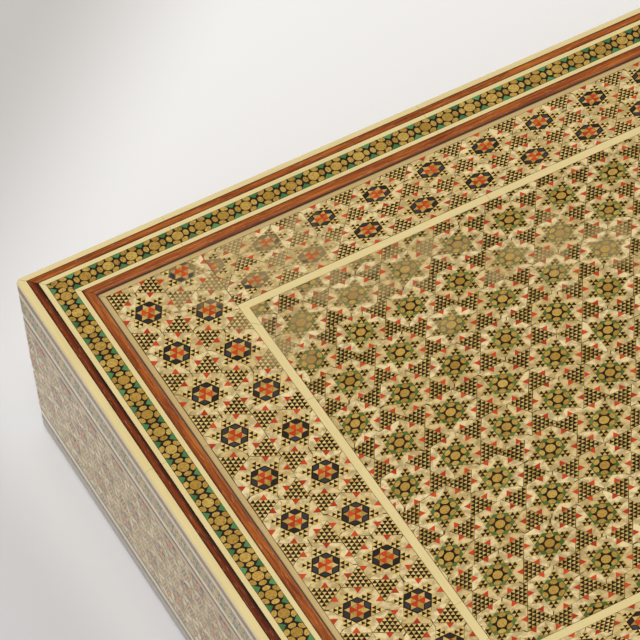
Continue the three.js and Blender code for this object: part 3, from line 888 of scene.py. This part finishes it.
def trim(sheet, left, right, near, far):
    cut(sheet, (left, 0), (-1, 0))
    cut(sheet, (right, 0), (1, 0))
    cut(sheet, (0, near), (0, -1))
    cut(sheet, (0, far), (0, 1))


# In square millimetres
SMALLEST_CHIP = 0.004


def drop_chips(sheet):
    """Takes away the slivers that sawing leaves, which are thinner than a glue line."""
    for face in sheet.data.polygons:
        face.select = face.area < SMALLEST_CHIP
    make_active(sheet)
    bpy.ops.object.mode_set(mode="EDIT")
    bpy.ops.mesh.delete(type="FACE")
    bpy.ops.mesh.select_all(action="SELECT")
    bpy.ops.mesh.select_loose()
    bpy.ops.mesh.delete(type="VERT")
    bpy.ops.object.mode_set(mode="OBJECT")


def thicken(sheet):
    """Gives each flat rod its thickness, down to the layer below."""
    solid = sheet.modifiers.new("thickness", "SOLIDIFY")
    solid.thickness = RISE
    solid.offset = -1
    make_active(sheet)
    bpy.ops.object.modifier_apply(modifier="thickness")


TUCK = 0.12


def lay_flat_map(sheet, left, right, near, far):
    """Maps the sheet from above, and folds each rod's thin sides in under its top."""
    mesh = sheet.data
    while mesh.uv_layers:
        mesh.uv_layers.remove(mesh.uv_layers[0])
    layer = mesh.uv_layers.new(name="OFBake")
    for face in mesh.polygons:
        normal = face.normal
        upright = abs(normal.z) < 0.5
        height = face.center.z
        for index in face.loop_indices:
            spot = mesh.vertices[mesh.loops[index].vertex_index].co
            x, y = spot.x, spot.y
            if upright:
                depth = TUCK if spot.z < height else TUCK / 6
                x -= normal.x * depth
                y -= normal.y * depth
            layer.data[index].uv = ((x - left) / (right - left), (y - near) / (far - near))


def finish_sheet(sheet, name, limits, body, stand, straight=None):
    """Turns a flat sheet of rods into a piece of the box: thickened, mapped and stood in its place."""
    drop_chips(sheet)
    thicken(sheet)
    lay_flat_map(sheet, *limits)
    if straight:
        wrap_corners(sheet, straight)
    sheet.data.transform(Matrix.Scale(0.001, 4) @ stand)
    sheet.name = name
    sheet.data.name = name
    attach(sheet, body)


# Half of the glue line between a sheet and its neighbours: stars, flowers of the top, upright sheets
STAR_GLUE, FLOWER_GLUE, SIDE_GLUE = 0.06, 0.05, 0.05
# The main field's strips run along X from this seam, in millimetres from the back edge
FIELD_STRIP_BREADTH = 10.97
FIELD_FIRST_SEAM = 41.9 - FIELD_STRIP_BREADTH
# The first star of each strip, from the left edge, and its pitch, from the back strip to the front one
FIELD_STRIPS = [
    (43.6, 13.9), (50.5, 14.02), (47.3, 13.4), (51.6, 13.83), (46.7, 13.7), (52.4, 14.05),
    (47.4, 13.78), (51.7, 14.2), (46.1, 13.9), (52.6, 13.9), (46.9, 13.9), (51.9, 13.9),
]
# The strips sag near the left edge: how far, from where on, and over what length. They do so from the
# first of two distances from the back edge, and fully from the second.
FIELD_SAG = 7.0
FIELD_SAG_START, FIELD_SAG_BEFORE = 44.0, 6
FIELD_SAG_REACH = 38.0
FIELD_SAG_BACK, FIELD_SAG_FULL = 10, 75


def field_sheet():
    """The main sheet of green stars, laid with X right from the left edge and Y forwards as negative."""
    low_corner, high_corner = extent("lid_field")
    left = low_corner.x + WIDTH / 2 + STAR_GLUE
    right = high_corner.x + WIDTH / 2 - STAR_GLUE
    near = low_corner.y - DEPTH / 2 + STAR_GLUE
    far = high_corner.y - DEPTH / 2 - STAR_GLUE
    cells = []
    for row, (first, pitch) in enumerate(FIELD_STRIPS):
        middle = FIELD_FIRST_SEAM + FIELD_STRIP_BREADTH * (row + 0.5)
        cells += star_strip("green", first, pitch, -middle, FIELD_STRIP_BREADTH, left, right)
    sheet = set_cells(cells)
    for vertex in sheet.data.vertices:
        share = (-vertex.co.y - FIELD_SAG_BACK) / (FIELD_SAG_FULL - FIELD_SAG_BACK)
        reach = max(vertex.co.x - FIELD_SAG_START, -FIELD_SAG_BEFORE)
        sag = FIELD_SAG * (1 - math.exp(-reach / FIELD_SAG_REACH))
        vertex.co.y += min(max(share, 0), 1) * sag
    trim(sheet, left, right, near, far)
    stand = Matrix.Translation((-WIDTH / 2, DEPTH / 2, high_corner.z))
    finish_sheet(sheet, "rods_lid_field", (left, right, near, far), "lid", stand)


# Strips of the lid are laid with X along their edge and Y inwards from it, and these turns put each by
# its own edge. So lengths along them are counted from the left at the front, from the front on the
# right, from the right at the back and from the back on the left.
INWARDS = {"front": 0, "right": 90, "back": 180, "left": -90}


def turn_to(side):
    return Matrix.Rotation(math.radians(INWARDS[side]), 4, "Z")


def halves(side):
    """Half of the box's length along one of its sides, and half of its breadth across."""
    return (DEPTH / 2, WIDTH / 2) if side in ("left", "right") else (WIDTH / 2, DEPTH / 2)


def strip_limits(node, side):
    """Half of a strip's length, and how far its near and far sides are in from the box's outline."""
    low_corner, high_corner = extent(node)
    axis = 0 if side in ("left", "right") else 1
    edge = (WIDTH, DEPTH)[axis] / 2
    near, far = sorted([edge - abs(low_corner[axis]), edge - abs(high_corner[axis])])
    return high_corner[1 - axis], near, far


# The borders round the field, by strip: first star, pitch, middle and breadth
SIDE_BORDER_STRIPS = [(25.5, 14.4, 22.05, 12.35), (32.2, 14.1, 34.4, 12.35)]
END_BORDER_STRIPS = [(5.0, 14.6, 20.45, 9.18), (9.64, 14.83, 29.55, 9.18)]


def border_sheet(side, strips, slide):
    """One border of red stars, slid along from where its strips have their first stars."""
    name = "lid_border_" + side
    half_along, half_across = halves(side)
    half_length, near, far = strip_limits(name, side)
    start, end = half_along - half_length + STAR_GLUE, half_along + half_length - STAR_GLUE
    near, far = near + STAR_GLUE, far - STAR_GLUE
    cells = []
    for first, pitch, middle, breadth in strips:
        cells += star_strip("red", first + slide, pitch, middle, breadth, start, end)
    sheet = set_cells(cells)
    trim(sheet, start, end, near, far)
    stand = (
        Matrix.Translation((0, 0, extent(name)[1].z)) @ turn_to(side)
        @ Matrix.Translation((-half_along, -half_across, 0))
    )
    finish_sheet(sheet, "rods_" + name, (start, end, near, far), "lid", stand)


# Where the flowers of each strip of the top are counted from
FLOWER_FIRST = {"left": 11.28, "back": 13.6, "right": 12.1, "front": 11.5}


def flower_strip(side):
    """One strip of small flowers on the lid's top, mitred at both ends."""
    name = "lid_top_flowers_" + side
    half_along, half_across = halves(side)
    inset, inner = strip_limits(name, side)[1:]
    half_length = half_along - inset
    width = inner - inset
    cells = []
    for step in range(-1, int(2 * half_length / FLOWER_PITCH) + 3):
        mesh = flowers[TOP_FLOWERS][chance.randrange(VARIANTS)]
        place = -half_along + FLOWER_FIRST[side] + (step - 1) * FLOWER_PITCH
        cells.append((mesh, place, -half_across + inset + width / 2, 1, width / TOP_FLOWERS, 0))
    sheet = set_cells(cells)
    near, far = -half_across + inset + FLOWER_GLUE, -half_across + inner - FLOWER_GLUE
    trim(sheet, -half_length, half_length, near, far)
    slant = math.sqrt(0.5)
    for end in (-1, 1):
        cut(sheet, (end * (half_length - FLOWER_GLUE), near - FLOWER_GLUE), (end * slant, slant))
    stand = Matrix.Translation((0, 0, extent(name)[1].z)) @ turn_to(side)
    finish_sheet(sheet, "rods_" + name, (-half_length, half_length, near, far), "lid", stand)


field_sheet()
# The unseen borders are slid along, so that they aren't quite the same as the seen ones
for side, slide in (("left", 0), ("right", 5.3)):
    border_sheet(side, SIDE_BORDER_STRIPS, slide)
for side, slide in (("back", 0), ("front", 3.9)):
    border_sheet(side, END_BORDER_STRIPS, slide)
for side in ("front", "right", "back", "left"):
    flower_strip(side)


SIDE_STAR_PITCH = 13.5
SIDE_STRIP_BREADTH = 9.9
SIDE_STRIP_MIDDLES = [35.2, 25.3, 15.4, 5.5]
# Where a side's strips begin, from its left end: first stars of even and odd strips, and flowers
SIDE_STRIP_FIRST = (8.7, 2.0)
SIDE_FLOWER_FIRST = 1.6
CORNER_RADIUS = 1.2
CORNER_STEPS = 3
# Between the sheets of two sides, where they meet in the middle of a corner's round
CORNER_GLUE = 0.03


def wrap_corners(sheet, straight):
    """Bends both ends of a flat sheet round the box's rounded corners, while its Z still points outwards."""
    for end in (-1, 1):
        for step in range(CORNER_STEPS):
            along = straight + CORNER_RADIUS * math.radians(45) * step / CORNER_STEPS
            with editing(sheet):
                bpy.ops.mesh.bisect(plane_co=(end * along, 0, 0), plane_no=(1, 0, 0), use_fill=False)
    for vertex in sheet.data.vertices:
        over = abs(vertex.co.x) - straight
        if over > 0:
            turn = over / CORNER_RADIUS
            radius = CORNER_RADIUS + vertex.co.z
            vertex.co.x = math.copysign(straight + radius * math.sin(turn), vertex.co.x)
            vertex.co.z = radius * math.cos(turn) - CORNER_RADIUS


def heights(node):
    """Where an upright sheet begins and ends, from the bottom."""
    low_corner, high_corner = extent(node)
    return low_corner.z + SIDE_GLUE, high_corner.z - SIDE_GLUE


def side_sheets(side):
    """The stars of the base and the flowers of the lid on one upright side, laid flat and then stood up."""
    half_along, half_across = halves(side)
    straight = half_along - CORNER_RADIUS
    half_length = straight + CORNER_RADIUS * math.radians(45) - CORNER_GLUE
    stand = (
        turn_to(side)
        @ Matrix.Translation((0, -half_across, 0))
        @ Matrix.Rotation(math.radians(90), 4, "X")
    )
    star_cells = []
    for row, middle in enumerate(SIDE_STRIP_MIDDLES):
        first = -half_length + SIDE_STRIP_FIRST[row % 2] + chance.uniform(-0.5, 0.5)
        star_cells += star_strip(
            "red", first, SIDE_STAR_PITCH, middle, SIDE_STRIP_BREADTH, -half_length, half_length,
        )
    middle = sum(heights("lid_side_flowers_" + side)) / 2
    flower_cells = []
    for step in range(int(2 * half_length / FLOWER_PITCH) + 3):
        mesh = flowers[SIDE_FLOWERS][chance.randrange(VARIANTS)]
        place = -half_length + SIDE_FLOWER_FIRST + (step - 0.5) * FLOWER_PITCH
        flower_cells.append((mesh, place, middle, 1, 1, 0))
    for node, name, cells, body, slot in (
        ("base_mosaic_", "rods_base_", star_cells, "base", "red_star_mosaic"),
        ("lid_side_flowers_", "rods_lid_side_", flower_cells, "lid", "flower_mosaic"),
    ):
        limits = (-half_length, half_length, *heights(node + side))
        sheet = set_cells(cells)
        trim(sheet, *limits)
        finish_sheet(sheet, name + side, limits, body, stand, straight)


for side in ("front", "right", "back", "left"):
    side_sheets(side)


VELVET_TURN = 0.3


def velvet_slab(name, low_corner, high_corner):
    """A card covered in velvet: a slab with its edges rounded over, as the cloth turns round them."""
    deselect_all()
    middle = (low_corner + high_corner) / 2
    bpy.ops.mesh.primitive_cube_add(size=1, location=metres(*middle))
    slab = bpy.context.object
    slab.name = name
    slab.scale = metres(*(high_corner - low_corner))
    bpy.ops.object.transform_apply(location=True, rotation=False, scale=True)
    with editing(slab):
        bpy.ops.mesh.bevel(offset=VELVET_TURN / 1000, segments=3, affect="EDGES")
    bpy.ops.object.shade_smooth_by_angle(angle=math.radians(40))
    slab.data.materials.append(velvet)
    return slab


LINING_GAP = 0.1
WALL_LINING = 0.9


def wall_linings():
    """Four strips of velvet on card inside the base. The long ones run right into the corners."""
    low_corner, high_corner = extent("lining_walls")
    for side in ("front", "back", "left", "right"):
        near, far = low_corner.copy(), high_corner.copy()
        axis = 1 if side in ("front", "back") else 0
        if axis == 0:
            near.y += WALL_LINING + LINING_GAP
            far.y -= WALL_LINING + LINING_GAP
        if side in ("front", "left"):
            far[axis] = near[axis] + WALL_LINING
        else:
            near[axis] = far[axis] - WALL_LINING
        strip = velvet_slab("velvet_wall_" + side, near, far)
        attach(strip, "base")
    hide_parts("lining_walls")


def lid_lining():
    """One piece of velvet on card under the lid's board."""
    low_corner, high_corner = extent("lining_lid")
    slab = velvet_slab("velvet_lid", low_corner, high_corner)
    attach(slab, "lid")
    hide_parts("lining_lid")


PAD_SPACING = 4
PAD_CROWN = 1.6
PAD_FRAMES = 16
# All that lies more than this below the top is glued down
PAD_GLUED = 0.05


def swell(pad, top):
    """Swells the pad's top by a short cloth simulation, and gives where each corner was and where it went."""
    glued = pad.vertex_groups.new(name="glued")
    below = [vertex.index for vertex in pad.data.vertices if vertex.co.z < top - PAD_GLUED / 1000]
    glued.add(below, 1.0, "REPLACE")
    flat = [vertex.co.copy() for vertex in pad.data.vertices]
    cloth = pad.modifiers.new("cloth", "CLOTH")
    cloth.settings.vertex_group_mass = "glued"
    cloth.settings.quality = 6
    cloth.settings.use_pressure = True
    cloth.settings.uniform_pressure_force = 3.0
    cloth.settings.shrink_min = -0.03
    cloth.settings.effector_weights.gravity = 0
    cloth.point_cache.frame_start = 1
    cloth.point_cache.frame_end = PAD_FRAMES
    for frame_number in range(1, PAD_FRAMES + 1):
        bpy.context.scene.frame_set(frame_number)
    swollen = pad.evaluated_get(bpy.context.evaluated_depsgraph_get()).to_mesh()
    moved = [vertex.co.copy() for vertex in swollen.vertices]
    pad.modifiers.remove(cloth)
    bpy.context.scene.frame_set(1)
    return flat, moved


def floor_pad():
    """The velvet pad on the box's floor: a card below, and wadding that swells under the velvet."""
    low_corner, high_corner = extent("lining_floor")
    size = high_corner - low_corner
    pad = velvet_slab("velvet_floor_pad", low_corner, high_corner)
    for axis, normal in ((0, (1, 0, 0)), (1, (0, 1, 0))):
        steps = int(size[axis] / PAD_SPACING)
        for step in range(1, steps):
            at = low_corner.copy()
            at[axis] += size[axis] * step / steps
            with editing(pad):
                bpy.ops.mesh.bisect(plane_co=metres(*at), plane_no=normal, use_fill=False)
    flat, moved = swell(pad, high_corner.z / 1000)
    # The simulation gives the crown's form, and its height is then brought down to that of thin wadding
    highest = max(to.z - start.z for start, to in zip(flat, moved))
    for vertex, start, to in zip(pad.data.vertices, flat, moved):
        vertex.co = start + (to - start) * (PAD_CROWN / 1000 / highest)
    bpy.ops.object.shade_smooth_by_angle(angle=math.radians(60))
    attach(pad, "base")
    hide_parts("lining_floor")


wall_linings()
lid_lining()
floor_pad()


# The sheet of paper lies this far below the box, so that their faces never coincide
FLOOR_GAP = 0.1
FLOOR_SIZE = 6


def rise_along(tree, place, direction, start, end):
    """A smooth rise from 0 to 1 between two distances from the middle, in metres, along one direction."""
    distance = add(tree, "VectorMath", (place, direction), operation="DOT_PRODUCT")
    return add(tree, "MapRange", {
        "Value": distance, "From Min": start, "From Max": end,
    }, interpolation_type="SMOOTHSTEP")


def add_floor():
    """Matt paper under the box, with painted light and shade: a little lighter behind it, darker to its left.
    """
    deselect_all()
    bpy.ops.mesh.primitive_grid_add(
        x_subdivisions=8, y_subdivisions=8, size=FLOOR_SIZE, location=(0, 0, low[2] - FLOOR_GAP / 1000),
    )
    floor = bpy.context.object
    floor.name = "floor"
    material, tree, place = new_material("matt_studio_paper")
    backwards = rise_along(tree, place, (0, 1, 0), -0.1, 0.35)
    colour = add(tree, "Mix", (backwards, linear("#e2e3e6"), linear("#fafaf9")), data_type="RGBA")
    # The light thins out to the left of the box, and more so far behind its left corner
    for direction, start, end, shade in (
        ((-1, 0, 0), 0.125, 0.15, "#e6e6e7"),
        ((-0.65, 0.76, 0), 0.158, 0.218, "#cccac8"),
    ):
        share = rise_along(tree, place, direction, start, end)
        colour = add(
            tree, "Mix", (share, colour, linear(shade)), data_type="RGBA", blend_type="MULTIPLY",
        )
    finish_material(tree, {"Base Color": colour, "Roughness": 0.9})
    floor.data.materials.append(material)


def add_world():
    """The studio: soft white light, seen and mirrored as pale paper all round with a ceiling in shade."""
    world = bpy.data.worlds.new("studio")
    bpy.context.scene.world = world
    world.use_nodes = True
    tree = world.node_tree
    tree.nodes.clear()
    upwards = add(tree, "SeparateXYZ", (add(tree, "TexCoord", ()).outputs["Generated"],)).outputs["Z"]
    ceiling = add(tree, "MapRange", {
        "Value": upwards, "From Min": 0.2, "From Max": 0.6,
    }, interpolation_type="SMOOTHSTEP")
    paper = add(tree, "Mix", (ceiling, linear("#eae8e6"), linear("#4c4232")), data_type="RGBA")
    seen = add(tree, "Background", (paper, 1.0))
    given = add(tree, "Background", (linear("#f4f5f8"), 0.5))
    ray = add(tree, "LightPath", ()).outputs
    looked_at = add(tree, "Math", (ray["Is Camera Ray"], ray["Is Glossy Ray"]), operation="ADD")
    looked_at = add(tree, "Math", (looked_at, ray["Is Transmission Ray"]), operation="ADD", use_clamp=True)
    add(tree, "OutputWorld", {"Surface": add(tree, "MixShader", (looked_at, given, seen))})


def add_softbox(name, place, size, power, tint):
    """A soft lamp that faces the box, its place and size in metres."""
    lamp = bpy.data.lights.new(name, "AREA")
    lamp.shape = "RECTANGLE"
    lamp.size, lamp.size_y = size
    lamp.energy = power
    lamp.color = linear(tint)[:3]
    softbox = bpy.data.objects.new(name, lamp)
    softbox.location = place
    softbox.rotation_euler = (-Vector(place)).to_track_quat("-Z", "Y").to_euler()
    bpy.context.collection.objects.link(softbox)


add_floor()
add_world()
add_softbox("window_light", (-0.5, 0.1, 1.7), (1.5, 1.5), 19.5, "#fffaf2")
add_softbox("room_fill", (1.1, -0.9, 1.3), (1.6, 1.6), 4.8, "#fff2dc")
add_softbox("wall_glow", (-1.2, 0.1, 0.35), (0.8, 0.5), 1.2, "#b8ccff")

bpy.context.scene.view_settings.view_transform = "Standard"

for spare in [mesh for mesh in bpy.data.meshes if not mesh.users]:
    bpy.data.meshes.remove(spare)
